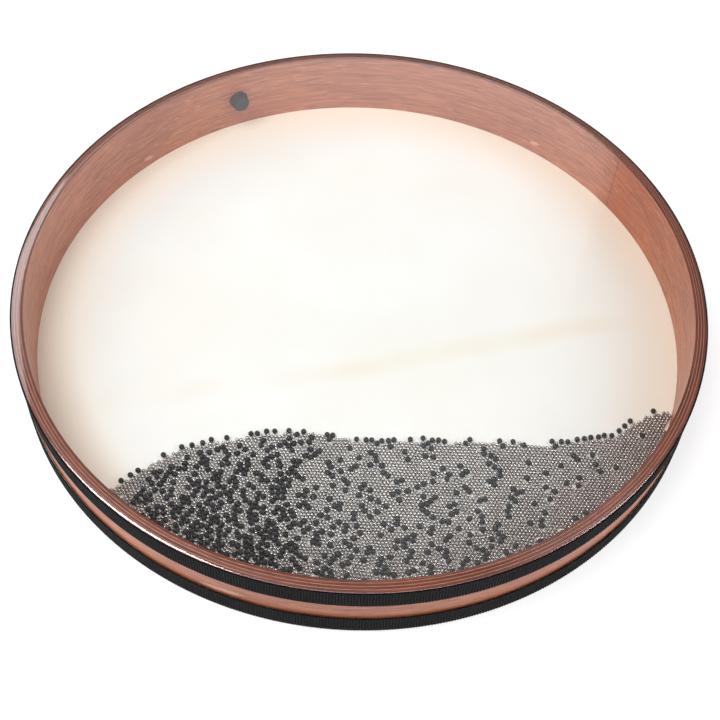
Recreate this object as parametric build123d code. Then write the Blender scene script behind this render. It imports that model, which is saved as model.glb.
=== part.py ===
from build123d import *
from math import cos, dist, hypot, radians, sin, sqrt
import os

# An ocean drum: a bent ply hoop, a clear head over it, a skin head under it and loose balls between them.
# It lies on its skin head. The origin is the centre of the skin's underside, +Z is up the drum's axis and
# +Y points at the filler plug. Sizes are millimetres, and angles are degrees about +Z from +X.

# Hoop: four bent plies, glued one inside the other. Its two bearing edges are flat on the inner ply and
# slope away from there to the outside, so that a stretched head leaves the wood in a clean line.
HOOP_DIAMETER = 558.0
HOOP_HEIGHT = 60.0
PLY_THICKNESS = 2.2
GLUE_LINE = 0.1
BEARING_DROP = 1.5

# Each ply is one strip whose tapered ends overlap in a scarf joint, at its own place round the hoop
SCARF_LENGTH = 40.0
SCARF_SLIT = 0.2
SCARF_ANGLES = {"ply_outer": -132.0, "ply_core_outer": 140.0, "ply_core_inner": 65.0, "ply_inner": 2.1}

# Heads, stretched over the rims and drawn along the outside of the wood
FILM_THICKNESS = 0.3
SKIN_THICKNESS = 0.8

# Tapes, glued round the heads' skirts and a little past them, with their ends butted
TAPE_WIDTH = 19.0
TAPE_THICKNESS = 0.8
TAPE_INSET = 0.1
TAPE_OVERHANG = 4.0
TAPE_BUTT = 0.4
TAPE_SEAM_ANGLE = 75.0

# Filler plug: a rubber stopper. Its head lies between the tapes and is sunk into a wider hole in the outer ply,
# and its tapered end stands out of the wall towards the balls.
PLUG_ROOM = 0.5
PLUG_LIP = 0.5
PLUG_FIT = 0.3
PLUG_SEAT = 0.3
PLUG_HEAD_DEPTH = 4.0
PLUG_REACH = 8.0
PLUG_TIP_INSET = 1.1

# Balls: one layer of steel balls with larger black ones among them. The layer is closed up to a bed's height,
# and every so often one of its balls stands out of the bed.
STEEL_BALL = 3.0
BLACK_BALL = 4.5
BED_HEIGHT = 1.8
STANDING_PITCH = 34.0
BALL_SIDES = 6
BALL_SLOPE = 25.0
BALL_GAP = 0.3
BALL_WEB = 1.2

# Heap: how far the layer reaches in from the wall, and which share of that it reaches at each angle
HEAP_DEPTH = 149.5
HEAP_EDGE = (
    (-164.0, 0.0),
    (-163.0, 0.405),
    (-155.2, 0.736),
    (-146.1, 0.906),
    (-126.1, 1.0),
    (-95.4, 0.943),
    (-76.6, 0.766),
    (-59.4, 0.388),
    (-47.1, 0.130),
    (-44.2, 0.0),
)
# Black balls thin out from the heap's first end to its last, and some lie along the free edge
HEAP_BALLS = 12
HEAP_LEAN = 1.7
EDGE_BALLS = 8
EDGE_SPAN = (0.14, 0.9)

# Steps of a two-dimensional sequence that spreads points evenly
SPREAD_STEPS = (0.7548776662, 0.5698402910)

hoop_radius = HOOP_DIAMETER / 2
hoop_low = SKIN_THICKNESS + GLUE_LINE
hoop_high = hoop_low + HOOP_HEIGHT
hoop_middle = (hoop_low + hoop_high) / 2
drum_height = hoop_high + GLUE_LINE + FILM_THICKNESS
lower_tape_low = BEARING_DROP + TAPE_INSET
lower_tape_high = lower_tape_low + TAPE_WIDTH
upper_tape_high = drum_height - BEARING_DROP - TAPE_INSET
upper_tape_low = upper_tape_high - TAPE_WIDTH
ply_pitch = PLY_THICKNESS + GLUE_LINE
wall = len(SCARF_ANGLES) * ply_pitch - GLUE_LINE
inner_radius = hoop_radius - wall
crown_radius = inner_radius + PLY_THICKNESS
heap_radius = inner_radius - BALL_GAP
heap_low = SKIN_THICKNESS + BALL_GAP
plug_height = (lower_tape_high + upper_tape_low) / 2
plug_head_radius = (upper_tape_low - lower_tape_high) / 2 - PLUG_ROOM
plug_hole_radius = plug_head_radius - PLUG_LIP


def polar(radius, angle):
    """A point on the floor plan, from its distance to the drum's axis and its angle."""
    return (radius * cos(radians(angle)), radius * sin(radians(angle)))


def ring(inner, outer, low, high):
    """A plain hoop between two radii and two heights."""
    height = high - low
    return Pos(0, 0, (low + high) / 2) * (Cylinder(outer, height) - Cylinder(inner, height))


def scarf_slit(radius, angle):
    """The slanting slit of a scarf joint: a piece of an off-centre shell that crosses the ply's thickness."""
    offset = PLY_THICKNESS / SCARF_LENGTH * radius
    shell = hypot(radius, offset)
    reach = 2 * HOOP_HEIGHT
    slit = Cylinder(shell + SCARF_SLIT / 2, reach) - Cylinder(shell - SCARF_SLIT / 2, reach)
    window = Box(SCARF_LENGTH, 3 * SCARF_LENGTH, reach)
    local = Pos(0, -offset, 0) * slit & Pos(radius, 0, 0) * window
    return Pos(0, 0, hoop_middle) * Rot(0, 0, angle) * local


def domed_disc(radius, low, high, low_drop, high_drop):
    """A disc with flat middles, whose two faces slope away past the crown by a drop at the hoop's radius."""
    share = (radius - crown_radius) / (hoop_radius - crown_radius)
    profile = Polyline(
        (0, low),
        (crown_radius, low),
        (radius, low + low_drop * share),
        (radius, high - high_drop * share),
        (crown_radius, high),
        (0, high),
        close=True,
    )
    return revolve(Rot(90, 0, 0) * make_face(profile), Axis.Z)


def ply(name):
    """One bent strip of the hoop, with its share of the bearing edges, its scarf joint and the plug's hole."""
    outer = hoop_radius - list(SCARF_ANGLES).index(name) * ply_pitch
    inner = outer - PLY_THICKNESS
    middle = (inner + outer) / 2
    hoop = domed_disc(hoop_radius, hoop_low, hoop_high, BEARING_DROP, BEARING_DROP)
    bore = plug_head_radius + PLUG_ROOM if name == "ply_outer" else plug_hole_radius
    hole = Pos(0, middle, plug_height) * Rot(90, 0, 0) * Cylinder(bore, 2 * wall)
    return (ring(inner, outer, hoop_low, hoop_high) & hoop) - scarf_slit(middle, SCARF_ANGLES[name]) - hole


def head(thickness, skirt):
    """A head as a shallow cap, mouth down: its flat, the slope over the bearing edge and its skirt."""
    inside = hoop_radius + GLUE_LINE
    cap = domed_disc(inside + thickness, 0, skirt + thickness, 0, BEARING_DROP)
    return cap - domed_disc(inside, 0, skirt, 0, BEARING_DROP)


def clear_head():
    """The film over the top rim."""
    end = upper_tape_low + TAPE_OVERHANG
    return Pos(0, 0, end) * head(FILM_THICKNESS, hoop_high + GLUE_LINE - end)


def skin_head():
    """The skin under the bottom rim."""
    end = lower_tape_high - TAPE_OVERHANG
    return Pos(0, 0, end) * Rot(180, 0, 0) * head(SKIN_THICKNESS, end - SKIN_THICKNESS)


def tape(head_thickness, low, high):
    """A tape round one head's skirt, with its butted ends."""
    inner = hoop_radius + 2 * GLUE_LINE + head_thickness
    outer = inner + TAPE_THICKNESS
    body = ring(inner, outer, low, high)
    butt = Pos(outer, 0, hoop_middle) * Box(4 * TAPE_THICKNESS, TAPE_BUTT, 2 * HOOP_HEIGHT)
    return body - Rot(0, 0, TAPE_SEAM_ANGLE) * butt


def filler_plug():
    """The stopper, turned about its own axis: lipped head, shank in the hole and tapered end."""
    shank = plug_hole_radius - PLUG_FIT
    seat = hoop_radius - ply_pitch + PLUG_SEAT
    top = seat + PLUG_HEAD_DEPTH
    tip = inner_radius - PLUG_REACH
    profile = Polyline(
        (0, top),
        (plug_head_radius, top),
        (plug_head_radius, seat),
        (shank, seat),
        (shank, inner_radius),
        (shank - PLUG_TIP_INSET, tip),
        (0, tip),
        close=True,
    )
    return Pos(0, 0, plug_height) * revolve(make_face(profile), Axis.Y)


def heap_outline():
    """The heap's free edge as a smooth curve, and its whole outline as a face."""
    points = [polar(heap_radius - share * HEAP_DEPTH, angle) for angle, share in HEAP_EDGE]
    free_edge = Spline(*points)
    middle = (HEAP_EDGE[0][0] + HEAP_EDGE[-1][0]) / 2
    wall_edge = ThreePointArc(points[0], polar(heap_radius, middle), points[-1])
    return free_edge, make_face([free_edge, wall_edge])


def heap_places(free_edge, outline):
    """Places of the black balls inside the heap, clear of its edges and of each other."""
    first, last = HEAP_EDGE[0][0], HEAP_EDGE[-1][0]
    margin = BLACK_BALL / 2 + BALL_GAP + BALL_WEB
    places = []
    turn = 0
    while len(places) < HEAP_BALLS:
        turn += 1
        across, inwards = [turn * step % 1 for step in SPREAD_STEPS]
        place = polar(heap_radius - margin - inwards * HEAP_DEPTH, first + (last - first) * across**HEAP_LEAN)
        clear = all(dist(place, other) > 2 * margin for other in places)
        if clear and outline.is_inside((*place, 0)) and free_edge.distance_to(place) > margin:
            places.append(place)
    return places


def edge_places(free_edge):
    """Places of the black balls that lie against the free edge, on its open side."""
    start, end = EDGE_SPAN
    stand_off = BLACK_BALL / 2 + BALL_GAP
    places = []
    for count in range(EDGE_BALLS):
        along = start + (end - start) * count / (EDGE_BALLS - 1)
        outwards = free_edge.tangent_at(along).cross(Vector(0, 0, -1))
        place = free_edge.position_at(along) + outwards * stand_off
        places.append((place.X, place.Y))
    return places


def standing_places(free_edge, outline, black_places):
    """Places of the steel balls that stand out of the bed, in even rows and clear of its edges and pockets."""
    row_pitch = STANDING_PITCH * sqrt(3) / 2
    rows = range(-int(heap_radius / row_pitch), int(heap_radius / row_pitch) + 1)
    margin = STEEL_BALL / 2 + BALL_WEB
    keep_off = margin + BLACK_BALL / 2 + BALL_GAP
    places = []
    for row in rows:
        for column in rows:
            place = ((column + row % 2 / 2) * STANDING_PITCH, row * row_pitch)
            inside = hypot(*place) < heap_radius - margin and outline.is_inside((*place, 0))
            clear = all(dist(place, other) > keep_off for other in black_places)
            if inside and clear and free_edge.distance_to(place) > margin:
                places.append(place)
    return places


def ball(diameter, place):
    """One ball with few flat faces, resting just clear of the skin."""
    half = extrude(RegularPolygon(diameter / 2, BALL_SIDES), diameter / 2, taper=BALL_SLOPE)
    return Pos(*place, heap_low + diameter / 2) * (half + mirror(half, Plane.XY))


def balls():
    """The layer of steel balls, with a pocket for each black ball, and the black balls."""
    free_edge, outline = heap_outline()
    inside = heap_places(free_edge, outline)
    pocket = RegularPolygon(BLACK_BALL / 2 + BALL_GAP, BALL_SIDES, major_radius=False)
    bed = Pos(0, 0, heap_low) * extrude(outline - [Pos(*place) * pocket for place in inside], BED_HEIGHT)
    bed += [ball(STEEL_BALL, place) for place in standing_places(free_edge, outline, inside)]
    black = [ball(BLACK_BALL, place) for place in inside + edge_places(free_edge)]
    return bed, Compound(children=black)


steel_ball_bed, black_balls = balls()
pieces = {name: ply(name) for name in SCARF_ANGLES}
pieces["clear_head"] = clear_head()
pieces["skin_head"] = skin_head()
pieces["upper_tape"] = tape(FILM_THICKNESS, upper_tape_low, upper_tape_high)
pieces["lower_tape"] = tape(SKIN_THICKNESS, lower_tape_low, lower_tape_high)
pieces["filler_plug"] = filler_plug()
pieces["steel_ball_bed"] = steel_ball_bed
pieces["black_balls"] = black_balls

os.makedirs("parts", exist_ok=True)
for name, piece in pieces.items():
    export_step(piece, f"parts/{name}.step")
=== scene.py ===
import logging
import math
from dataclasses import dataclass
from enum import Enum

import bmesh
import bpy
import numpy as np
from bmesh.types import BMesh, BMVert
from bpy.types import ID, Material, Node, NodeTree, Object
from bpy.types import NodeSocket as Socket
from mathutils import Matrix, Vector
from mathutils.kdtree import KDTree


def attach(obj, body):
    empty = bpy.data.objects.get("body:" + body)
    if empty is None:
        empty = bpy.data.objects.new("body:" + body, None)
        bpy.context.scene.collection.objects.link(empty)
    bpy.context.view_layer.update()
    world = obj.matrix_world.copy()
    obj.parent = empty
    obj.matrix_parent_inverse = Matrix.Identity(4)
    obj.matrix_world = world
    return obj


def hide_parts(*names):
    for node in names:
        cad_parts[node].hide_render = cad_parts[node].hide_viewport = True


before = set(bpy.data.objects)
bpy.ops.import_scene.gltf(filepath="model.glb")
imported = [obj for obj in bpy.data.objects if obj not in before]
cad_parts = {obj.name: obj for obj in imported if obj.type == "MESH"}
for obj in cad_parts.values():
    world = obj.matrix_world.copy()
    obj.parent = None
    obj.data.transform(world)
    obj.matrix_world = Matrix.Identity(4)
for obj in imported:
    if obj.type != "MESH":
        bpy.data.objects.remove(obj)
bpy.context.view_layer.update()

# The drum lies on its skin head. Its sizes are millimetres in its own frame and become metres when a mesh is
# made, and the studio is set out in metres. The camera, the lamps and the heap of balls stand in a frame that
# is turned about the drum's axis, with its -Y towards the camera.
LOG = logging.getLogger("ocean_drum")
MM = 0.001
VIEW_TURN = math.radians(27.7)
SHARP_ANGLE = math.radians(40.0)
WHITE = (1.0, 1.0, 1.0, 1.0)
SAME_SCALE = (1.0, 1.0, 1.0)

# Sizes that several pieces share
HOOP_RADIUS = 279.0
HOOP_HEIGHT = 60.0
INNER_RADIUS = 269.9
PLY_PITCH = 2.3
GLUE_LINE = 0.1
FILM_THICKNESS = 0.3
SKIN_THICKNESS = 0.8
DRUM_HEIGHT = HOOP_HEIGHT + FILM_THICKNESS + SKIN_THICKNESS + 2 * GLUE_LINE

Outline = list[tuple[float, float]]
Paint = tuple[int, int, int]
Place = tuple[float, float, float]
Span = tuple[float, float]
Feed = Socket | float | tuple[float, ...]
Feeds = dict[str | int, Feed]


class Body(Enum):
    """The moving bodies of the drum."""

    DRUM = "drum"
    PLUG = "plug"
    CHARGE = "charge"


class Slot(Enum):
    """The record's material slots."""

    PLY = "hoop_ply"
    FILM = "clear_film"
    SKIN = "rawhide"
    TAPE = "ribbed_tape"
    RUBBER = "plug_rubber"
    STEEL = "ball_steel"
    BLACK = "ball_black"


def linear(paint: Paint) -> tuple[float, float, float, float]:
    """Turn a colour as it looks on a screen into the renderer's own values.

    Args:
        paint: Red, green and blue from 0 to 255.

    Returns:
        The linear colour with full alpha.
    """
    shares = [value / 255 for value in paint]
    red, green, blue = [s / 12.92 if s <= 0.04045 else ((s + 0.055) / 1.055) ** 2.4 for s in shares]
    return (red, green, blue, 1.0)


@dataclass(frozen=True)
class Fade:
    """A soft step: where it starts and ends, and what it gives before and after."""

    start: float
    end: float
    before: float = 0.0
    after: float = 1.0


class NodeSketch:
    """Wires one node tree in few words."""

    def __init__(self, tree: NodeTree) -> None:
        """Start on a tree."""
        self.tree = tree

    def add(self, kind: str, feeds: Feeds | None = None, **settings: object) -> Node:
        """Place one node.

        Args:
            kind: The node's type name.
            feeds: What goes into its inputs, by name or place: sockets to link, or plain values.
            settings: The node's own options.

        Returns:
            The node.
        """
        node = self.tree.nodes.new(kind)
        for name, value in settings.items():
            setattr(node, name, value)
        for name, value in (feeds or {}).items():
            if isinstance(value, Socket):
                self.tree.links.new(value, node.inputs[name])
            else:
                node.inputs[name].default_value = value
        return node

    def maths(self, operation: str, first: Feed, second: Feed = 0.0, third: Feed = 0.0) -> Socket:
        """One sum of up to three values."""
        return self.add("ShaderNodeMath", {0: first, 1: second, 2: third}, operation=operation).outputs[0]

    def between(self, value: Feed, low: float, high: float, first: float = 0.0, last: float = 1.0) -> Socket:
        """A soft step.

        Args:
            value: What is stepped.
            low: Where the step starts.
            high: Where it ends.
            first: What comes out below it.
            last: What comes out above it.

        Returns:
            The stepped value.
        """
        feeds = {"Value": value, "From Min": low, "From Max": high, "To Min": first, "To Max": last}
        return self.add("ShaderNodeMapRange", feeds, interpolation_type="SMOOTHSTEP").outputs[0]

    def faded(self, value: Feed, fades: tuple[Fade, ...]) -> Socket:
        """Multiply several soft steps of one value.

        Args:
            value: What is stepped.
            fades: The steps.

        Returns:
            Their product.
        """
        product = 1.0
        for fade in fades:
            step = self.between(value, fade.start, fade.end, fade.before, fade.after)
            product = self.maths("MULTIPLY", product, step)
        return product

    def noise(self, vector: Socket, scale: float, detail: float = 3.0, roughness: float = 0.55) -> Socket:
        """A cloudy pattern between 0 and 1."""
        feeds = {"Vector": vector, "Scale": scale, "Detail": detail, "Roughness": roughness}
        return self.add("ShaderNodeTexNoise", feeds).outputs[0]

    def mix(self, share: Feed, first: Feed, second: Feed) -> Socket:
        """Two colours, mixed by a share."""
        return self.add("ShaderNodeMix", {0: share, 6: first, 7: second}, data_type="RGBA").outputs[2]

    def stretched(self, vector: Socket, scale: Place, turn: float = 0.0) -> Socket:
        """Coordinates, turned about Z and scaled along each axis."""
        feeds = {"Vector": vector, "Scale": scale, "Rotation": (0.0, 0.0, turn)}
        return self.add("ShaderNodeMapping", feeds).outputs[0]

    def split(self, vector: Socket) -> tuple[Socket, Socket, Socket]:
        """The three parts of a vector."""
        node = self.add("ShaderNodeSeparateXYZ", {0: vector})
        return node.outputs[0], node.outputs[1], node.outputs[2]

    def from_axis(self, x: Socket, y: Socket) -> Socket:
        """The distance from the drum's axis, in metres."""
        squares = self.maths("ADD", self.maths("POWER", x, 2.0), self.maths("POWER", y, 2.0))
        return self.maths("SQRT", squares)

    def place(self) -> Socket:
        """The piece's own coordinates, in metres."""
        return self.add("ShaderNodeTexCoord").outputs["Object"]

    def bump(self, height: Socket, distance: float) -> Socket:
        """A normal from a height in metres times a distance."""
        return self.add("ShaderNodeBump", {"Height": height, "Distance": distance}).outputs[0]


def play_group() -> NodeTree:
    """The node group of uneven tone that every finish shares.

    Returns:
        A group that takes a vector and two scales, and puts out a coarse and a fine pattern.
    """
    known = bpy.data.node_groups.get("surface_play")
    if known:
        return known
    group = bpy.data.node_groups.new("surface_play", "ShaderNodeTree")
    group.interface.new_socket("Vector", in_out="INPUT", socket_type="NodeSocketVector")
    for name in ("Coarse Scale", "Fine Scale"):
        group.interface.new_socket(name, in_out="INPUT", socket_type="NodeSocketFloat")
    for name in ("Coarse", "Fine"):
        group.interface.new_socket(name, in_out="OUTPUT", socket_type="NodeSocketFloat")
    sketch = NodeSketch(group)
    inside = sketch.add("NodeGroupInput").outputs
    coarse = sketch.add("ShaderNodeTexNoise", {"Vector": inside[0], "Scale": inside[1], "Detail": 2.0})
    fine = sketch.add("ShaderNodeTexNoise", {"Vector": inside[0], "Scale": inside[2], "Detail": 4.0})
    patterns = {
        "Coarse": sketch.between(coarse.outputs[0], 0.3, 0.7),
        "Fine": sketch.between(fine.outputs[0], 0.25, 0.75),
    }
    sketch.add("NodeGroupOutput", patterns)
    return group


class MaterialSketch(NodeSketch):
    """Wires a material that has one surface shader."""

    def __init__(self, name: str) -> None:
        """Start an empty material."""
        self.material = bpy.data.materials.new(name)
        self.material.use_nodes = True
        self.material.node_tree.nodes.clear()
        super().__init__(self.material.node_tree)

    def play(self, vector: Socket, coarse: float, fine: float) -> tuple[Socket, Socket]:
        """Place the shared group of uneven tone.

        Args:
            vector: The coordinates it reads.
            coarse: Scale of the large patches.
            fine: Scale of the small ones.

        Returns:
            The coarse and the fine pattern, each between 0 and 1.
        """
        feeds = {"Vector": vector, "Coarse Scale": coarse, "Fine Scale": fine}
        node = self.add("ShaderNodeGroup", feeds, node_tree=play_group())
        return node.outputs["Coarse"], node.outputs["Fine"]

    def surfaced(self, feeds: Feeds) -> Material:
        """End the material with its shader, fed as given, and hand it over."""
        shader = self.add("ShaderNodeBsdfPrincipled", feeds)
        self.add("ShaderNodeOutputMaterial", {"Surface": shader.outputs[0]})
        return self.material


@dataclass(frozen=True)
class Mark:
    """A pale or dark mark on a ply's face: its angle about the drum in degrees, its height and its size."""

    angle: float
    height: float
    width: float
    tall: float
    paint: Paint
    weight: float
    lean: float


@dataclass(frozen=True)
class Specks:
    """Short marks along the grain: how they are drawn out and turned, how many show, and their paint."""

    stretch: Place
    turn: float
    shown: Span
    paint: Paint
    weight: float

    def mask(self, sketch: NodeSketch, place: Socket) -> Socket:
        """The pattern, which is 1 on a mark and 0 between the marks."""
        grain = sketch.noise(sketch.stretched(place, self.stretch, self.turn), 1.0, 2.0)
        return sketch.between(grain, *self.shown)

    def laid(self, sketch: NodeSketch, face: Socket, mask: Socket) -> Socket:
        """The colour so far, with the marks laid over it."""
        return sketch.mix(sketch.maths("MULTIPLY", mask, self.weight), face, linear(self.paint))


@dataclass(frozen=True)
class PlyFinish:
    """Red-brown bent veneer under satin lacquer: streaked faces, and darker edges lined by the glue."""

    name: str
    marks: tuple[Mark, ...] = ()
    seam: float | None = None
    pale: Paint = (196, 118, 80)
    deep: Paint = (156, 82, 51)
    edge_pale: Paint = (142, 70, 50)
    edge_deep: Paint = (42, 15, 11)
    glue: Paint = (225, 160, 122)
    past_seam: Paint = (180, 96, 64)
    streak_stretch: Place = (18.0, 18.0, 420.0)
    pores: Specks = Specks((60.0, 60.0, 560.0), 0.0, (0.54, 0.66), (104, 50, 34), 0.45)
    flecks: Specks = Specks((75.0, 75.0, 700.0), 1.0, (0.58, 0.7), (226, 160, 130), 0.45)
    cloud_scale: float = 9.0
    grit_scale: float = 700.0
    roughness: Span = (0.34, 0.48)
    lacquer: Span = (0.12, 0.2)
    lacquer_roughness: float = 0.25
    relief: float = 0.00006
    warm_reach: float = 0.3
    joint_edge: Span = (0.0008, 0.0035)
    glue_edge: Span = (0.03, 0.12)
    edge_lines: Span = (2.6, 5.0)
    bare_rims: Span = (0.3, 0.4)

    def material(self) -> Material:
        """Build the veneer's material.

        Returns:
            The material, whose edge colours show on what faces up or down.
        """
        sketch = MaterialSketch(self.name)
        place = sketch.place()
        x, y, z = sketch.split(place)
        angle = sketch.maths("ARCTAN2", y, x)
        streak = sketch.noise(sketch.stretched(place, self.streak_stretch), 1.0, 5.0, 0.62)
        pores = self.pores.mask(sketch, place)
        cloud, grit = sketch.play(place, self.cloud_scale, self.grit_scale)
        tone = sketch.maths("MULTIPLY_ADD", cloud, 0.35, sketch.between(streak, 0.32, 0.68, 0.0, 0.65))
        face = sketch.mix(tone, linear(self.pale), linear(self.deep))
        face = self.flecks.laid(sketch, face, self.flecks.mask(sketch, place))
        face = self.pores.laid(sketch, face, pores)
        if self.seam is not None:
            face = self.seamed(sketch, face, angle)
        for mark in self.marks:
            face = self.marked(sketch, face, mark, angle, z, grit)
        edge, lines = self.edge(sketch, angle, sketch.from_axis(x, y))
        normal = sketch.add("ShaderNodeNewGeometry").outputs["Normal"]
        on_edge = sketch.maths("GREATER_THAN", sketch.maths("ABSOLUTE", sketch.split(normal)[2]), 0.5)
        ridges = sketch.maths("MULTIPLY", sketch.maths("MULTIPLY", lines, 0.3), on_edge)
        feeds = {
            "Base Color": sketch.mix(on_edge, face, edge),
            "Roughness": sketch.between(grit, 0.0, 1.0, *self.roughness),
            "Normal": sketch.bump(sketch.maths("SUBTRACT", ridges, pores), self.relief),
            "Coat Roughness": self.lacquer_roughness,
            "Coat Weight": sketch.between(streak, 0.3, 0.7, *self.lacquer),
        }
        return sketch.surfaced(feeds)

    def seamed(self, sketch: NodeSketch, face: Socket, angle: Socket) -> Socket:
        """Lay the veneer's joint over the face: a thin dark line, and a warmer sheet beyond it that fades."""
        past = sketch.maths("SUBTRACT", math.radians(self.seam), angle)
        beyond = sketch.maths("GREATER_THAN", past, 0.0)
        warm = sketch.maths("MULTIPLY", beyond, sketch.between(past, 0.0, self.warm_reach, 0.4, 0.0))
        face = sketch.mix(warm, face, linear(self.past_seam))
        joint = sketch.between(sketch.maths("ABSOLUTE", past), *self.joint_edge, 0.35, 0.0)
        return sketch.mix(joint, face, linear(self.edge_deep))

    def marked(
        self, sketch: NodeSketch, face: Socket, mark: Mark, angle: Socket, z: Socket, grit: Socket
    ) -> Socket:
        """Lay one mark over the face, with its edge frayed by the grit."""
        turn = sketch.maths("SUBTRACT", angle, math.radians(mark.angle))
        up = sketch.maths("SUBTRACT", sketch.maths("MULTIPLY", z, 1 / MM), mark.height)
        along = sketch.maths("MULTIPLY_ADD", up, mark.lean, sketch.maths("MULTIPLY", turn, HOOP_RADIUS))
        across = sketch.maths("POWER", sketch.maths("DIVIDE", along, mark.width / 2), 2.0)
        tall = sketch.maths("POWER", sketch.maths("DIVIDE", up, mark.tall / 2), 2.0)
        reach = sketch.maths("MULTIPLY_ADD", grit, 0.5, sketch.maths("ADD", across, tall))
        return sketch.mix(sketch.between(reach, 0.5, 1.3, mark.weight, 0.0), face, linear(mark.paint))

    def edge(self, sketch: NodeSketch, angle: Socket, radius: Socket) -> tuple[Socket, Socket]:
        """Colour the bearing edge with fine long lines, and with a pale glue line between plies.

        Returns:
            The colour and the pattern of fine lines.
        """
        depth = sketch.maths("SUBTRACT", HOOP_RADIUS, sketch.maths("MULTIPLY", radius, 1 / MM))
        count = sketch.maths("DIVIDE", depth, PLY_PITCH)
        glue = sketch.between(sketch.maths("PINGPONG", count, 0.5), *self.glue_edge, 0.9, 0.0)
        across, around = self.edge_lines
        feeds = {0: sketch.maths("MULTIPLY", depth, across), 1: sketch.maths("MULTIPLY", angle, around)}
        unrolled = sketch.add("ShaderNodeCombineXYZ", feeds).outputs[0]
        lines = sketch.between(sketch.noise(unrolled, 1.0, 4.0, 0.6), 0.3, 0.7)
        edge = sketch.mix(lines, linear(self.edge_pale), linear(self.edge_deep))
        outer_rim, inner_rim = self.bare_rims
        first = sketch.maths("LESS_THAN", depth, outer_rim)
        last = sketch.maths("GREATER_THAN", depth, HOOP_RADIUS - INNER_RADIUS - inner_rim)
        inside = sketch.maths("SUBTRACT", 1.0, sketch.maths("MAXIMUM", first, last))
        return sketch.mix(sketch.maths("MULTIPLY", glue, inside), edge, linear(self.glue)), lines


@dataclass(frozen=True)
class FilmFinish:
    """Clear polyester film: it mirrors more the flatter it is seen, and carries a little dust."""

    name: str = "clear_polyester"
    tint: Paint = (252, 252, 255)
    index: float = 1.8
    dust: float = 0.02
    cloud_scale: float = 14.0
    speck_scale: float = 900.0
    ripple_scale: Place = (5.0, 5.0, 5.0)
    ripple: float = 0.0006
    roughness: Span = (0.03, 0.09)

    def material(self) -> Material:
        """Build the film's material.

        Returns:
            The material, a mirror that is as solid as the film is shiny, on its outside only.
        """
        sketch = MaterialSketch(self.name)
        place = sketch.place()
        cloud, specks = sketch.play(place, self.cloud_scale, self.speck_scale)
        mirror = sketch.add("ShaderNodeFresnel", {"IOR": self.index}).outputs[0]
        front = sketch.maths("SUBTRACT", 1.0, sketch.add("ShaderNodeNewGeometry").outputs["Backfacing"])
        dusty = sketch.maths("MULTIPLY", sketch.between(specks, 0.7, 1.0, 0.0, self.dust), cloud)
        seen = sketch.maths("MULTIPLY", sketch.maths("ADD", mirror, dusty), front)
        ripple = sketch.noise(sketch.stretched(place, self.ripple_scale), 1.0, 1.0)
        feeds = {
            "Base Color": linear(self.tint),
            "Metallic": 1.0,
            "Roughness": sketch.between(cloud, 0.0, 1.0, *self.roughness),
            "Alpha": seen,
            "Normal": sketch.bump(ripple, self.ripple),
        }
        return sketch.surfaced(feeds)


@dataclass(frozen=True)
class SkinFinish:
    """Scraped pale rawhide: nearly white, with a yellowed streak along the back line and faint clouds, and a
    warmer, darker cream painted near the wall as painted shade and painted bounce light from the wood.
    """

    name: str = "scraped_rawhide"
    pale: Paint = (252, 254, 251)
    cloud: Paint = (249, 249, 242)
    streak: Paint = (245, 234, 211)
    # Colour of the painted shade near the wall: a warm cream that stands in for the wall's shade and the
    # light bounced off the wood.
    painted_wall_shade: Paint = (253, 243, 222)
    streak_slope: float = 0.27
    streak_offset: float = -0.0455
    streak_edge: Span = (0.002, 0.015)
    streak_weight: Span = (0.05, 0.45)
    streak_stretch: Place = (9.0, 2.0, 1.0)
    wander: float = 0.03
    painted_wall_shade_width: float = 60.0
    painted_wall_shade_weight: float = 0.9
    cloud_scale: float = 7.0
    pore_scale: float = 1100.0
    roughness: Span = (0.5, 0.68)
    relief: float = 0.00005

    def material(self) -> Material:
        """Build the skin's material."""
        sketch = MaterialSketch(self.name)
        place = sketch.place()
        turned = sketch.stretched(place, SAME_SCALE, VIEW_TURN)
        x, y, _ = sketch.split(turned)
        cloud, pores = sketch.play(place, self.cloud_scale, self.pore_scale)
        wave = sketch.maths("MULTIPLY_ADD", sketch.noise(turned, 6.0, 2.0), self.wander, -self.wander / 2)
        line = sketch.maths("MULTIPLY_ADD", x, self.streak_slope, self.streak_offset)
        off = sketch.maths("ABSOLUTE", sketch.maths("ADD", sketch.maths("SUBTRACT", y, line), wave))
        along = sketch.noise(sketch.stretched(turned, self.streak_stretch), 1.0, 3.0)
        strength = sketch.between(along, 0.35, 0.65, *self.streak_weight)
        streak = sketch.maths("MULTIPLY", sketch.between(off, *self.streak_edge, 1.0, 0.0), strength)
        colour = sketch.mix(cloud, linear(self.pale), linear(self.cloud))
        colour = sketch.mix(streak, colour, linear(self.streak))
        # The skin is painted a warmer, darker cream towards the wall: painted shade from the wall and painted
        # warm bounce light from the wood.
        painted_wall_shade_start = (INNER_RADIUS - self.painted_wall_shade_width) * MM
        painted_wall_shade = sketch.between(sketch.from_axis(x, y), painted_wall_shade_start, INNER_RADIUS * MM, 0.0, self.painted_wall_shade_weight)
        feeds = {
            "Base Color": sketch.mix(painted_wall_shade, colour, linear(self.painted_wall_shade)),
            "Roughness": sketch.between(pores, 0.0, 1.0, *self.roughness),
            "Normal": sketch.bump(sketch.maths("ADD", pores, streak), self.relief),
        }
        return sketch.surfaced(feeds)


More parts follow.
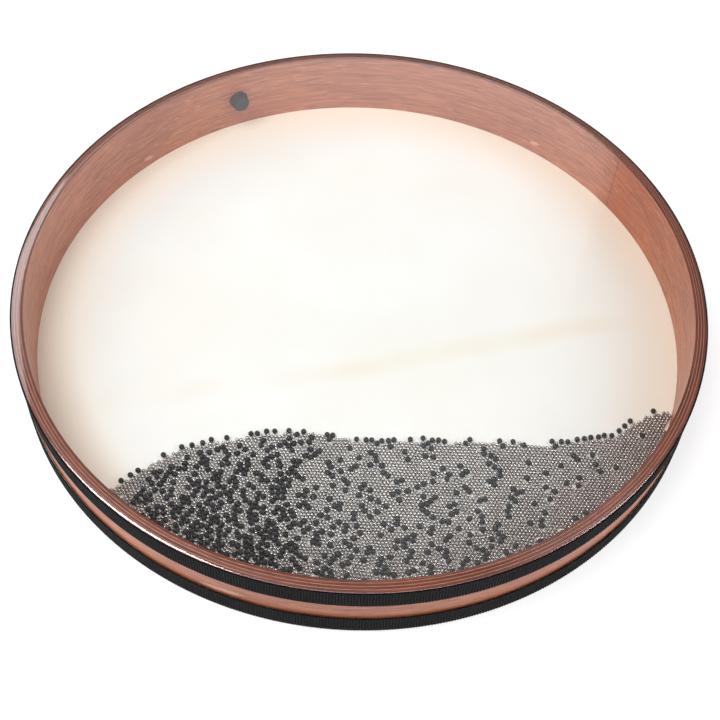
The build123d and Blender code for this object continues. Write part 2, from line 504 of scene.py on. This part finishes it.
@dataclass(frozen=True)
class TapeFinish:
    """Black ribbed tape: threads run round the ribs, and the crests are painted paler, partly as wear and
    partly as painted light catching the ribs.
    """

    name: str
    outer: float
    deep: Paint = (2, 2, 3)
    # Colour of the crests: partly wear, partly a painted highlight on the ribs.
    crest_wear_and_light: Paint = (52, 53, 56)
    thread_pitch: float = 0.42
    crest_depth: float = 0.28
    cloud_scale: float = 30.0
    lint_scale: float = 1500.0
    roughness: Span = (0.62, 0.85)
    relief: float = 0.0001
    gloss: float = 0.05
    sheen: float = 0.05
    sheen_roughness: float = 0.4

    def material(self) -> Material:
        """Build the tape's material."""
        sketch = MaterialSketch(self.name)
        place = sketch.place()
        x, y, z = sketch.split(place)
        cloud, lint = sketch.play(place, self.cloud_scale, self.lint_scale)
        threads = sketch.maths("SINE", sketch.maths("MULTIPLY", z, math.tau / (self.thread_pitch * MM)))
        threads = sketch.between(threads, -1.0, 1.0)
        crest_start = (self.outer - self.crest_depth) * MM
        crest = sketch.between(sketch.from_axis(x, y), crest_start, self.outer * MM)
        wear = sketch.maths("MULTIPLY_ADD", lint, 0.35, sketch.maths("MULTIPLY_ADD", threads, 0.25, 0.25))
        patches = sketch.between(cloud, 0.0, 1.0, 0.7, 1.1)
        # The crests are painted paler: partly wear, partly painted light catching the rib crests.
        crest_wear_and_light = sketch.maths("MULTIPLY", sketch.maths("MULTIPLY", wear, crest), patches)
        feeds = {
            "Base Color": sketch.mix(crest_wear_and_light, linear(self.deep), linear(self.crest_wear_and_light)),
            "Roughness": sketch.between(lint, 0.0, 1.0, *self.roughness),
            "Normal": sketch.bump(sketch.maths("MULTIPLY_ADD", lint, 0.6, threads), self.relief),
            "Specular IOR Level": self.gloss,
            "Sheen Weight": self.sheen,
            "Sheen Roughness": self.sheen_roughness,
        }
        return sketch.surfaced(feeds)


@dataclass(frozen=True)
class PlainFinish:
    """A finish of one material that varies a little: rubber, polished steel or gloss black."""

    name: str
    pale: Paint
    deep: Paint
    roughness: Span
    metal: float
    cloud_scale: float
    grain_scale: float
    relief: float

    def material(self) -> Material:
        """Build the material."""
        sketch = MaterialSketch(self.name)
        cloud, grain = sketch.play(sketch.place(), self.cloud_scale, self.grain_scale)
        tone = sketch.maths("MULTIPLY_ADD", grain, 0.4, sketch.maths("MULTIPLY", cloud, 0.6))
        feeds = {
            "Base Color": sketch.mix(tone, linear(self.pale), linear(self.deep)),
            "Roughness": sketch.between(grain, 0.0, 1.0, *self.roughness),
            "Normal": sketch.bump(grain, self.relief),
            "Metallic": self.metal,
        }
        return sketch.surfaced(feeds)


BLACK_RUBBER = PlainFinish(
    name="black_rubber",
    pale=(27, 26, 32),
    deep=(17, 16, 21),
    roughness=(0.5, 0.68),
    metal=0.0,
    cloud_scale=180.0,
    grain_scale=2500.0,
    relief=0.00003,
)
BEARING_STEEL = PlainFinish(
    name="bearing_steel",
    pale=(222, 220, 217),
    deep=(198, 196, 193),
    roughness=(0.18, 0.26),
    metal=1.0,
    cloud_scale=60.0,
    grain_scale=900.0,
    relief=0.000005,
)
GLOSS_BLACK = PlainFinish(
    name="gloss_black",
    pale=(46, 44, 48),
    deep=(28, 27, 30),
    roughness=(0.34, 0.5),
    metal=0.0,
    cloud_scale=60.0,
    grain_scale=900.0,
    relief=0.00001,
)


def lathe(outline: Outline, steps: int, rounding: dict[int, float]) -> BMesh:
    """Turn an outline, which starts and ends on the axis, about the drum's axis.

    Args:
        outline: Radius and height of each corner, in millimetres.
        steps: How many steps the turn has.
        rounding: By corner, how much of it is rounded off, in millimetres.

    Returns:
        The turned mesh, in metres.
    """
    bm = bmesh.new()
    corners = [bm.verts.new((radius * MM, 0.0, height * MM)) for radius, height in outline]
    for first, last in zip(corners, corners[1:]):
        bm.edges.new((first, last))
    round_off = {"affect": "VERTICES", "segments": 4, "profile": 0.5, "material": -1}
    for corner, amount in rounding.items():
        bmesh.ops.bevel(bm, geom=[corners[corner]], offset=amount * MM, **round_off)
    around = {"axis": (0, 0, 1), "cent": (0, 0, 0), "angle": math.tau, "use_merge": True}
    bmesh.ops.spin(bm, geom=bm.verts[:] + bm.edges[:], steps=steps, **around)
    bmesh.ops.remove_doubles(bm, verts=bm.verts, dist=1e-6)
    bmesh.ops.recalc_face_normals(bm, faces=bm.faces)
    return bm


def put_in_scene(name: str, data: ID) -> Object:
    """Make an object of a mesh, lamp or camera and put it in the scene."""
    thing = bpy.data.objects.new(name, data)
    bpy.context.scene.collection.objects.link(thing)
    return thing


def finish_piece(
    name: str,
    bm: BMesh,
    material: Material,
    body: Body,
    stands_for: tuple[str, ...] = (),
) -> Object:
    """Make an object of a mesh and hand it to its body.

    Args:
        name: The piece's name.
        bm: Its mesh, which is used up.
        material: Its finish.
        body: The body it moves with.
        stands_for: The nodes it replaces.

    Returns:
        The object.
    """
    mesh = bpy.data.meshes.new(name)
    bm.to_mesh(mesh)
    bm.free()
    mesh.materials.append(material)
    mesh.shade_smooth()
    mesh.set_sharp_from_angle(angle=SHARP_ANGLE)
    piece = put_in_scene(name, mesh)
    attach(piece, body.value)
    if stands_for:
        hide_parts(*stands_for)
    LOG.info("%s: %d faces on %s", name, len(mesh.polygons), body.value)
    return piece


@dataclass
class Hoop:
    """The four glued plies, which keep their solid shapes and get their veneer."""

    seam: float = 6.3
    outer_marks: tuple[Mark, ...] = (
        Mark(-136.0, 25.0, 34.0, 7.0, (236, 184, 160), 0.6, -3.0),
        Mark(-128.0, 27.0, 26.0, 1.6, (120, 68, 52), 0.5, -4.0),
    )
    inner_marks: tuple[Mark, ...] = (
        Mark(26.3, 12.2, 11.0, 6.0, (222, 166, 142), 0.75, 1.0),
        Mark(111.5, 9.4, 12.0, 6.0, (214, 166, 150), 0.7, -1.0),
    )

    def dress(self) -> None:
        """Put the veneer on each ply, with the marks that it carries."""
        plain = PlyFinish("ply_veneer").material()
        finishes = {
            "ply_outer": PlyFinish("outer_veneer", self.outer_marks).material(),
            "ply_core_outer": plain,
            "ply_core_inner": plain,
            "ply_inner": PlyFinish("inner_veneer", self.inner_marks, self.seam).material(),
        }
        for name, material in finishes.items():
            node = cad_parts[name]
            node.material_slots[0].material = material
            LOG.info("%s: kept, with %s", name, material.name)


@dataclass
class Head:
    """A stretched head: its flat, the slope over the bearing edge and the skirt along the wood."""

    name: str
    slot: Slot
    thickness: float
    flat: float
    upwards: float
    skirt: float = 16.6
    crown: float = 272.1
    drop: float = 1.5
    crown_round: float = 1.6
    outer_round: float = 0.7
    inner_round: float = 0.5
    steps: int = 360

    @property
    def inside(self) -> float:
        """Radius of the skirt's glued side."""
        return HOOP_RADIUS + GLUE_LINE

    @property
    def outside(self) -> float:
        """Radius of the skirt's outer side."""
        return self.inside + self.thickness

    def outline(self) -> Outline:
        """Draw the half section from the axis out along the outside, and back along the inside."""
        slope = self.drop / (HOOP_RADIUS - self.crown)
        under = self.flat - self.upwards * self.thickness
        skirt_end = self.flat - self.upwards * self.skirt
        return [
            (0.0, self.flat),
            (self.crown, self.flat),
            (self.outside, self.flat - self.upwards * slope * (self.outside - self.crown)),
            (self.outside, skirt_end),
            (self.inside, skirt_end),
            (self.inside, under - self.upwards * slope * (self.inside - self.crown)),
            (self.crown, under),
            (0.0, under),
        ]

    def build(self, material: Material) -> Object:
        """Turn the head and hand it to the drum."""
        rounding = {1: self.crown_round, 2: self.outer_round, 5: self.inner_round, 6: self.crown_round}
        bm = lathe(self.outline(), self.steps, rounding)
        return finish_piece(self.name, bm, material, Body.DRUM, (self.name,))


@dataclass
class EdgeTape:
    """A black ribbed tape round one head's skirt, with real ribs and butted ends."""

    name: str
    head: Head
    width: float = 19.0
    thickness: float = 0.8
    inset: float = 1.6
    ribs: int = 820
    sectors: int = 41
    rib_depth: float = 0.4
    rib_steps: int = 6
    edge: float = 0.3
    butt: float = 0.4
    seam_angle: float = 75.0

    @property
    def inner(self) -> float:
        """Radius of the tape's glued side."""
        return self.head.outside + GLUE_LINE

    @property
    def outer(self) -> float:
        """Radius of the ribs' crests."""
        return self.inner + self.thickness

    def section(self) -> Outline:
        """Draw the tape's section, with its outer corners taken off."""
        near = self.head.flat - self.head.upwards * self.inset
        low, high = sorted((near, near - self.head.upwards * self.width))
        return [
            (self.inner, low),
            (self.outer - self.edge, low),
            (self.outer, low + self.edge),
            (self.outer, high - self.edge),
            (self.outer - self.edge, high),
            (self.inner, high),
        ]

    def build(self, material: Material) -> Object:
        """Turn a short sector of the tape, repeat it round to the butted ends and press in the ribs."""
        reach = math.tau - self.butt / self.outer
        sector = reach / self.sectors
        around = {"axis": (0, 0, 1), "cent": (0, 0, 0)}
        bm = bmesh.new()
        corners = [bm.verts.new((radius * MM, 0.0, height * MM)) for radius, height in self.section()]
        for first, last in zip(corners, corners[1:] + corners[:1]):
            bm.edges.new((first, last))
        steps = self.ribs // self.sectors * self.rib_steps
        bmesh.ops.spin(bm, geom=bm.verts[:] + bm.edges[:], angle=sector, steps=steps, **around)
        copies = {"angle": reach - sector, "steps": self.sectors - 1, "use_duplicate": True}
        bmesh.ops.spin(bm, geom=bm.verts[:] + bm.edges[:] + bm.faces[:], **copies, **around)
        bmesh.ops.remove_doubles(bm, verts=bm.verts, dist=2e-6)
        self.press_ribs(bm, reach)
        bmesh.ops.holes_fill(bm, edges=[edge for edge in bm.edges if edge.is_boundary], sides=0)
        bmesh.ops.recalc_face_normals(bm, faces=bm.faces)
        start = Matrix.Rotation(math.radians(self.seam_angle) + self.butt / self.outer / 2, 3, "Z")
        bmesh.ops.rotate(bm, verts=bm.verts, cent=(0, 0, 0), matrix=start)
        return finish_piece(self.name, bm, material, Body.DRUM, (self.name,))

    def press_ribs(self, bm: BMesh, reach: float) -> None:
        """Press the hollows between the ribs into the tape's outside.

        Args:
            bm: The plain tape.
            reach: The angle from one end of the tape to the other.
        """
        crest = (self.outer - 1.5 * self.edge) * MM
        for vert in bm.verts:
            radius = math.hypot(vert.co.x, vert.co.y)
            if radius > crest:
                share = math.atan2(vert.co.y, vert.co.x) / reach
                dip = self.rib_depth * MM * (0.5 + 0.5 * math.cos(math.tau * self.ribs * share))
                vert.co.xy *= (radius - dip) / radius


@dataclass
class FillerPlug:
    """The rubber stopper in the filler hole, turned about an axis that points out of the hoop."""

    height: float = DRUM_HEIGHT / 2
    head_radius: float = 9.55
    shank_radius: float = 8.75
    end_radius: float = 7.65
    stand_out: float = 2.0
    head_depth: float = 4.0
    reach: float = 8.0
    head_round: float = 0.9
    seat_round: float = 0.3
    end_round: float = 0.6
    steps: int = 64

    def build(self, material: Material) -> Object:
        """Turn the stopper upright, then lay it into its hole."""
        top = HOOP_RADIUS + self.stand_out
        seat = top - self.head_depth
        tip = INNER_RADIUS - self.reach
        outline = [
            (0.0, top),
            (self.head_radius, top),
            (self.head_radius, seat),
            (self.shank_radius, seat),
            (self.shank_radius, INNER_RADIUS),
            (self.end_radius, tip),
            (0.0, tip),
        ]
        bm = lathe(outline, self.steps, {1: self.head_round, 2: self.seat_round, 5: self.end_round})
        bmesh.ops.rotate(bm, verts=bm.verts, cent=(0, 0, 0), matrix=Matrix.Rotation(-math.pi / 2, 3, "X"))
        bmesh.ops.translate(bm, verts=bm.verts, vec=(0.0, 0.0, self.height * MM))
        return finish_piece("filler_plug", bm, material, Body.PLUG, ("filler_plug",))


@dataclass
class BallCharge:
    """The loose balls, one layer deep: close-packed steel balls with larger black ones pressed in among them.

    The free edge and the shares of black balls are given along x, in the turned frame.
    """

    steel: float = 1.5
    black: float = 2.25
    wall: float = 269.8
    skin: float = 0.82
    segments: int = 8
    rings: int = 6
    rounds: int = 160
    search_every: int = 8
    push_share: float = 0.22
    near_reach: float = 2.6
    room_reach: float = 2.2
    wide_room: float = 0.3
    seed: int = 7
    towards_wall: float = 0.8
    patience: Span = (0.0, 1.9)
    edge_wander: Span = (-3.0, 2.0)
    edge_steps: Place = (4.7, 9.0, 17.0)
    edge_chances: Place = (0.5, 0.3, 0.2)
    edge_stretch: Span = (1.0, 1.5)
    edge: tuple[Span, ...] = (
        (-186.8, -179.4), (-183.1, -173.9), (-169.9, -165.2), (-164.0, -158.6), (-148.6, -146.8),
        (-135.1, -136.9), (-123.1, -132.5), (-97.1, -126.3), (-76.3, -120.5), (-63.8, -117.9),
        (-29.8, -116.8), (-5.0, -120.1), (14.0, -121.8), (48.8, -118.9), (102.0, -116.7), (148.8, -116.9),
        (180.2, -111.3), (208.6, -104.9), (235.7, -83.1), (251.7, -78.3), (257.5, -77.0),
    )
    black_along: tuple[Span, ...] = (
        (-190.0, 0.05), (-172.0, 0.14), (-155.0, 0.24), (-62.0, 0.24), (-38.0, 0.13), (0.0, 0.105),
        (60.0, 0.095), (120.0, 0.08), (150.0, 0.045), (175.0, 0.012), (260.0, 0.003),
    )

    def free_edge(self, x: np.ndarray) -> np.ndarray:
        """The free edge's y at each x, in the turned frame."""
        points = np.array(self.edge)
        return np.interp(x, points[:, 0], points[:, 1])

    def black_share(self, sites: np.ndarray) -> np.ndarray:
        """Work out how likely each site is to hold a black ball.

        Args:
            sites: The places of the balls.

        Returns:
            The shares, which thin out to the right and rise towards the wall.
        """
        along = np.array(self.black_along)
        share = np.interp(sites[:, 0], along[:, 0], along[:, 1])
        edge = self.free_edge(sites[:, 0])
        wall = -np.sqrt(np.maximum(self.wall**2 - sites[:, 0] ** 2, 0.0))
        return share * (1 + self.towards_wall * ((edge - sites[:, 1]) / (edge - wall) - 0.5))

    def sites(self) -> np.ndarray:
        """Find the close-packed places inside the heap's outline, row by row."""
        pitch = 2 * self.steel
        rows = np.arange(-self.wall, 0.0, pitch * math.sqrt(0.75))
        columns = np.arange(-self.wall, self.wall, pitch)
        places = [(x + pitch / 2 * (row % 2), y) for row, y in enumerate(rows) for x in columns]
        places = np.array(places)
        x, y = places[:, 0], places[:, 1]
        left, right = self.edge[0][0], self.edge[-1][0]
        inside = np.hypot(x, y) < self.wall - self.steel
        held = (x > left) & (x < right) & (y < self.free_edge(x) - self.steel)
        return places[inside & held]

    def edge_places(self, rng: np.random.Generator) -> np.ndarray:
        """Choose places of single black balls that lie along the free edge."""
        x = self.edge[0][0]
        places = []
        while x < self.edge[-1][0]:
            places.append((x, float(self.free_edge(np.array([x]))[0]) + rng.uniform(*self.edge_wander)))
            x += rng.choice(self.edge_steps, p=self.edge_chances) * rng.uniform(*self.edge_stretch)
        return np.array(places)

    def laid(self) -> tuple[np.ndarray, np.ndarray]:
        """Choose the black balls, make room for them and let all balls press each other apart.

        Returns:
            Places of the balls in the turned frame, and for each whether it is black.
        """
        rng = np.random.default_rng(self.seed)
        places = self.sites()
        is_black = self.spread_black(rng, self.black_share(places))
        tree = self.tree_of(places)
        gone = np.zeros(len(places), bool)
        for index in np.flatnonzero(is_black):
            reach = self.room_reach * self.steel
            near = [other for _, other, _ in tree.find_range((*places[index], 0.0), reach)]
            spare = [other for other in near if not is_black[other] and not gone[other]]
            for other in rng.permutation(spare)[: 1 + (rng.random() < self.wide_room)]:
                gone[other] = True
        edge = self.edge_places(rng)
        places = np.vstack([places[~gone], edge])
        is_black = np.concatenate([is_black[~gone], np.ones(len(edge), bool)])
        return self.pressed(places, np.where(is_black, self.black, self.steel)), is_black

    def spread_black(self, rng: np.random.Generator, shares: np.ndarray) -> np.ndarray:
        """Choose sites for black balls, row by row, so that they lie neither in line nor in large clumps.

        Args:
            rng: The source of chance.
            shares: How likely each site is to hold a black ball.

        Returns:
            For each site whether it is chosen.
        """
        chosen = np.zeros(len(shares), bool)
        due = 0.0
        for index, share in enumerate(shares):
            due += share
            chosen[index] = due > rng.uniform(*self.patience)
            due -= chosen[index]
        return chosen

    def tree_of(self, places: np.ndarray) -> KDTree:
        """Build a search tree over places."""
        tree = KDTree(len(places))
        for index, (x, y) in enumerate(places):
            tree.insert((x, y, 0.0), index)
        tree.balance()
        return tree

    def pressed(self, places: np.ndarray, radii: np.ndarray) -> np.ndarray:
        """Move balls that overlap apart, and keep all inside the wall.

        Args:
            places: Where the balls start.
            radii: Their radii.

        Returns:
            Where they come to rest.
        """
        places = places.copy()
        rest = self.wall - radii
        for turn in range(self.rounds):
            if turn % self.search_every == 0:
                pairs = self.near_pairs(places)
                first, second = pairs[:, 0], pairs[:, 1]
                height = radii[first] - radii[second]
                touch = np.sqrt((radii[first] + radii[second]) ** 2 - height**2)
            apart = places[second] - places[first]
            gap = np.maximum(np.hypot(apart[:, 0], apart[:, 1]), 1e-6)
            push = self.push_share * np.maximum(touch - gap, 0.0)[:, None] * apart / gap[:, None]
            np.add.at(places, first, -push)
            np.add.at(places, second, push)
            out = np.hypot(places[:, 0], places[:, 1])
            places *= np.minimum(1.0, rest / out)[:, None]
        return places

    def near_pairs(self, places: np.ndarray) -> np.ndarray:
        """Find the pairs of balls that are near enough to touch soon, as numbers of balls."""
        tree = self.tree_of(places)
        reach = self.near_reach * self.black
        found = [
            (index, other)
            for index, (x, y) in enumerate(places)
            for _, other, _ in tree.find_range((x, y, 0.0), reach)
            if other > index
        ]
        return np.array(found)

    def build(self, steel: Material, black: Material) -> None:
        """Lay the balls and make the pieces, the steel balls in three of them.

        Args:
            steel: Finish of the steel balls.
            black: Finish of the black balls.
        """
        places, is_black = self.laid()
        cos, sin = math.cos(VIEW_TURN), math.sin(VIEW_TURN)
        places = places @ np.array([[cos, -sin], [sin, cos]])
        bright = places[~is_black]
        bright = bright[np.argsort(bright[:, 0], kind="stable")]
        LOG.info("%d steel and %d black balls", len(bright), is_black.sum())
        for name, share in zip(("left", "middle", "right"), np.array_split(bright, 3)):
            stands_for = ("steel_ball_bed",) if name == "middle" else ()
            bm = self.balls(share, self.steel)
            finish_piece(f"steel_balls_{name}", bm, steel, Body.CHARGE, stands_for)
        bm = self.balls(places[is_black], self.black)
        finish_piece("black_balls_loose", bm, black, Body.CHARGE, ("black_balls",))

    def balls(self, places: np.ndarray, radius: float) -> BMesh:
        """Make round balls of one size at their places on the skin.

        Args:
            places: Where they lie, in millimetres.
            radius: Their radius.

        Returns:
            The mesh of all of them.
        """
        bm = bmesh.new()
        ball = bm.verts.layers.int.new("ball")
        bmesh.ops.create_uvsphere(bm, u_segments=self.segments, v_segments=self.rings, radius=radius * MM)
        count = 1
        while count < len(places):
            copies = bmesh.ops.duplicate(bm, geom=bm.verts[:] + bm.edges[:] + bm.faces[:])["geom"]
            for vert in copies:
                if isinstance(vert, BMVert):
                    vert[ball] += count
            count *= 2
        spare = [vert for vert in bm.verts if vert[ball] >= len(places)]
        bmesh.ops.delete(bm, geom=spare, context="VERTS")
        for vert in bm.verts:
            x, y = places[vert[ball]]
            vert.co += Vector((x, y, self.skin + radius)) * MM
        return bm


@dataclass(frozen=True)
class Lamp:
    """A soft rectangular lamp in the turned frame, which may be kept off glossy or off matt surfaces."""

    name: str
    place: Place
    size: Span
    brightness: float
    aim: Place = (0.0, 0.0, 0.03)
    mirrored: bool = True
    on_matt: bool = True

    def build(self) -> None:
        """Hang the lamp, facing its aim."""
        light = bpy.data.lights.new(self.name, "AREA")
        light.shape = "RECTANGLE"
        light.size, light.size_y = self.size
        light.energy = self.brightness * math.pi * self.size[0] * self.size[1]
        lamp = put_in_scene(self.name, light)
        lamp.visible_glossy = self.mirrored
        lamp.visible_diffuse = self.on_matt
        turn = Matrix.Rotation(-VIEW_TURN, 4, "Z")
        towards = Vector(self.aim) - Vector(self.place)
        facing = towards.to_track_quat("-Z", "Y").to_matrix().to_4x4()
        lamp.matrix_world = turn @ Matrix.Translation(self.place) @ facing


@dataclass(frozen=True)
class Glow:
    """A bright stretch of the surround: its fades along the horizon, in degrees, and upwards."""

    sides: tuple[Fade, ...]
    heights: tuple[Fade, ...]


@dataclass
class Studio:
    """A pale floor, soft lamps round and above the drum, a pale surround and the camera."""

    elevation: float = 53.566
    roll: float = 2.7917
    distance: float = 983.73
    target: Place = (2.238, -39.833, 0.0)
    lens: float = 58.947
    sensor: float = 36.0
    clip: Span = (0.01, 50.0)
    ambient: float = 0.3
    spot_height: float = 44.0
    spot_reach: Span = (40.0, 20.0)
    spot_strength: Span = (0.16, 2.0)
    far_wall: Glow = Glow(
        (Fade(16.2, 17.2, 1.0, 0.0), Fade(-60.0, -35.0), Fade(-16.0, 0.0, 0.62, 1.0)),
        (Fade(0.42, 0.54), Fade(0.57, 0.82, 1.5, 0.0)),
    )
    overhead: Glow = Glow(
        (Fade(-10.0, 4.0, 0.0, 0.35),),
        (Fade(0.78, 0.87), Fade(0.92, 0.97, 1.0, 0.0)),
    )
    floor_size: float = 12.0
    floor_drop: float = 0.0003
    floor_tones: tuple[Paint, Paint] = ((192, 192, 193), (189, 189, 189))
    floor_glow: Fade = Fade(0.5, 3.0, 0.6, 1.0)
    lamps: tuple[Lamp, ...] = (
        Lamp("left_lamp", (-1.3, -0.55, 0.85), (1.3, 0.6), 1.3),
        Lamp("right_lamp", (1.3, -0.55, 0.85), (1.0, 0.6), 3.0),
        Lamp("back_lamp", (-1.35, 0.85, 1.05), (1.3, 0.6), 2.1),
        Lamp("left_strip", (-0.81, -0.18, 1.2), (1.3, 0.07), 17.0, (-0.43, 0.4, 0.0), on_matt=False),
        Lamp("right_strip", (1.05, -0.07, 1.2), (0.75, 0.12), 7.0, (0.58, 0.45, 0.0)),
        Lamp("low_left_lamp", (-0.91, -0.42, 0.08), (0.8, 0.14), 7.0),
        Lamp("low_right_lamp", (0.91, -0.42, 0.08), (0.8, 0.14), 5.5),
        Lamp("top_lamp", (-0.5, -0.35, 1.5), (1.2, 1.0), 5.0, (0.0, 0.0, 0.0), mirrored=False),
    )

    def build(self) -> None:
        """Set everything up."""
        self.floor()
        self.surround()
        for lamp in self.lamps:
            lamp.build()
        self.camera()

    def floor(self) -> None:
        """Lay the floor, which looks white but keeps the drum's shadow."""
        bm = bmesh.new()
        bmesh.ops.create_grid(bm, x_segments=1, y_segments=1, size=self.floor_size / 2)
        bmesh.ops.translate(bm, verts=bm.verts, vec=(0.0, 0.0, -self.floor_drop))
        mesh = bpy.data.meshes.new("floor")
        bm.to_mesh(mesh)
        bm.free()
        mesh.materials.append(self.floor_material())
        floor = put_in_scene("floor", mesh)

    def floor_material(self) -> Material:
        """Build the floor's material.

        Returns:
            A matt pale grey that glows to the eye and in reflections, more so far out.
        """
        sketch = MaterialSketch("pale_floor")
        place = sketch.place()
        cloud, grain = sketch.play(place, 3.0, 60.0)
        pale, deep = self.floor_tones
        path = sketch.add("ShaderNodeLightPath").outputs
        seen = sketch.maths("MAXIMUM", path["Is Camera Ray"], path["Is Glossy Ray"])
        away = sketch.add("ShaderNodeVectorMath", {0: place}, operation="LENGTH").outputs["Value"]
        glow = sketch.faded(away, (self.floor_glow,))
        feeds = {
            "Base Color": sketch.mix(cloud, linear(pale), linear(deep)),
            "Roughness": sketch.between(grain, 0.0, 1.0, 0.8, 0.9),
            "Specular IOR Level": 0.0,
            "Emission Color": WHITE,
            "Emission Strength": sketch.maths("MULTIPLY", seen, glow),
        }
        return sketch.surfaced(feeds)

    def surround(self) -> None:
        """Make the surround: white to the eye and a plain fill for light.

        In reflections it has a bright far wall, which the film shows as a veil on the left, a pale stretch
        overhead on the right, and a spot low in front, which lights the balls' tops.
        """
        world = bpy.data.worlds.new("studio")
        world.use_nodes = True
        world.node_tree.nodes.clear()
        bpy.context.scene.world = world
        sketch = NodeSketch(world.node_tree)
        path = sketch.add("ShaderNodeLightPath").outputs
        sky = sketch.add("ShaderNodeTexCoord").outputs["Generated"]
        towards = sketch.stretched(sky, SAME_SCALE, VIEW_TURN)
        x, y, up = sketch.split(towards)
        side = sketch.maths("DEGREES", sketch.maths("ARCTAN2", x, y))
        mirrored = self.spot(sketch, towards)
        for glow in (self.far_wall, self.overhead):
            shine = sketch.maths("MULTIPLY", sketch.faded(side, glow.sides), sketch.faded(up, glow.heights))
            mirrored = sketch.maths("ADD", mirrored, shine)
        feeds = {0: path["Is Glossy Ray"], 2: self.ambient, 3: mirrored}
        fill = sketch.add("ShaderNodeMix", feeds).outputs[0]
        strength = sketch.add("ShaderNodeMix", {0: path["Is Camera Ray"], 2: fill, 3: 1.0}).outputs[0]
        background = sketch.add("ShaderNodeBackground", {"Strength": strength, "Color": WHITE})
        sketch.add("ShaderNodeOutputWorld", {"Surface": background.outputs[0]})

    def spot(self, sketch: NodeSketch, towards: Socket) -> Socket:
        """Brighten the surround about one direction in front of the drum.

        Args:
            sketch: The surround's tree.
            towards: The direction that is looked in.

        Returns:
            The brightness.
        """
        height = math.radians(self.spot_height)
        feeds = {0: towards, 1: (0.0, -math.cos(height), math.sin(height))}
        facing = sketch.add("ShaderNodeVectorMath", feeds, operation="DOT_PRODUCT").outputs["Value"]
        low, high = [math.cos(math.radians(angle)) for angle in self.spot_reach]
        return sketch.between(facing, low, high, *self.spot_strength)

    def camera(self) -> None:
        """Stand the camera where the drum was seen from."""
        lens = bpy.data.cameras.new("camera")
        lens.sensor_fit = "HORIZONTAL"
        lens.sensor_width = self.sensor
        lens.lens = self.lens
        lens.clip_start, lens.clip_end = self.clip
        camera = put_in_scene("camera", lens)
        camera.matrix_world = (
            Matrix.Rotation(-VIEW_TURN, 4, "Z")
            @ Matrix.Translation(Vector(self.target) * MM)
            @ Matrix.Rotation(math.radians(90 - self.elevation), 4, "X")
            @ Matrix.Translation((0.0, 0.0, self.distance * MM))
            @ Matrix.Rotation(math.radians(self.roll), 4, "Z")
        )
        bpy.context.scene.camera = camera


def main() -> None:
    """Dress the drum piece by piece and set up the studio."""
    logging.basicConfig(level=logging.INFO, format="%(name)s: %(message)s")
    Hoop().dress()
    clear_head = Head("clear_head", Slot.FILM, FILM_THICKNESS, flat=DRUM_HEIGHT, upwards=1.0)
    skin_head = Head("skin_head", Slot.SKIN, SKIN_THICKNESS, flat=0.0, upwards=-1.0)
    clear_head.build(FilmFinish().material())
    skin_head.build(SkinFinish().material())
    for side, head in (("upper", clear_head), ("lower", skin_head)):
        tape = EdgeTape(f"{side}_tape", head)
        tape.build(TapeFinish(f"{side}_grosgrain", tape.outer).material())
    FillerPlug().build(BLACK_RUBBER.material())
    BallCharge().build(BEARING_STEEL.material(), GLOSS_BLACK.material())
    Studio().build()
    bpy.context.scene.view_settings.view_transform = "Standard"


if __name__ == "__main__":
    main()
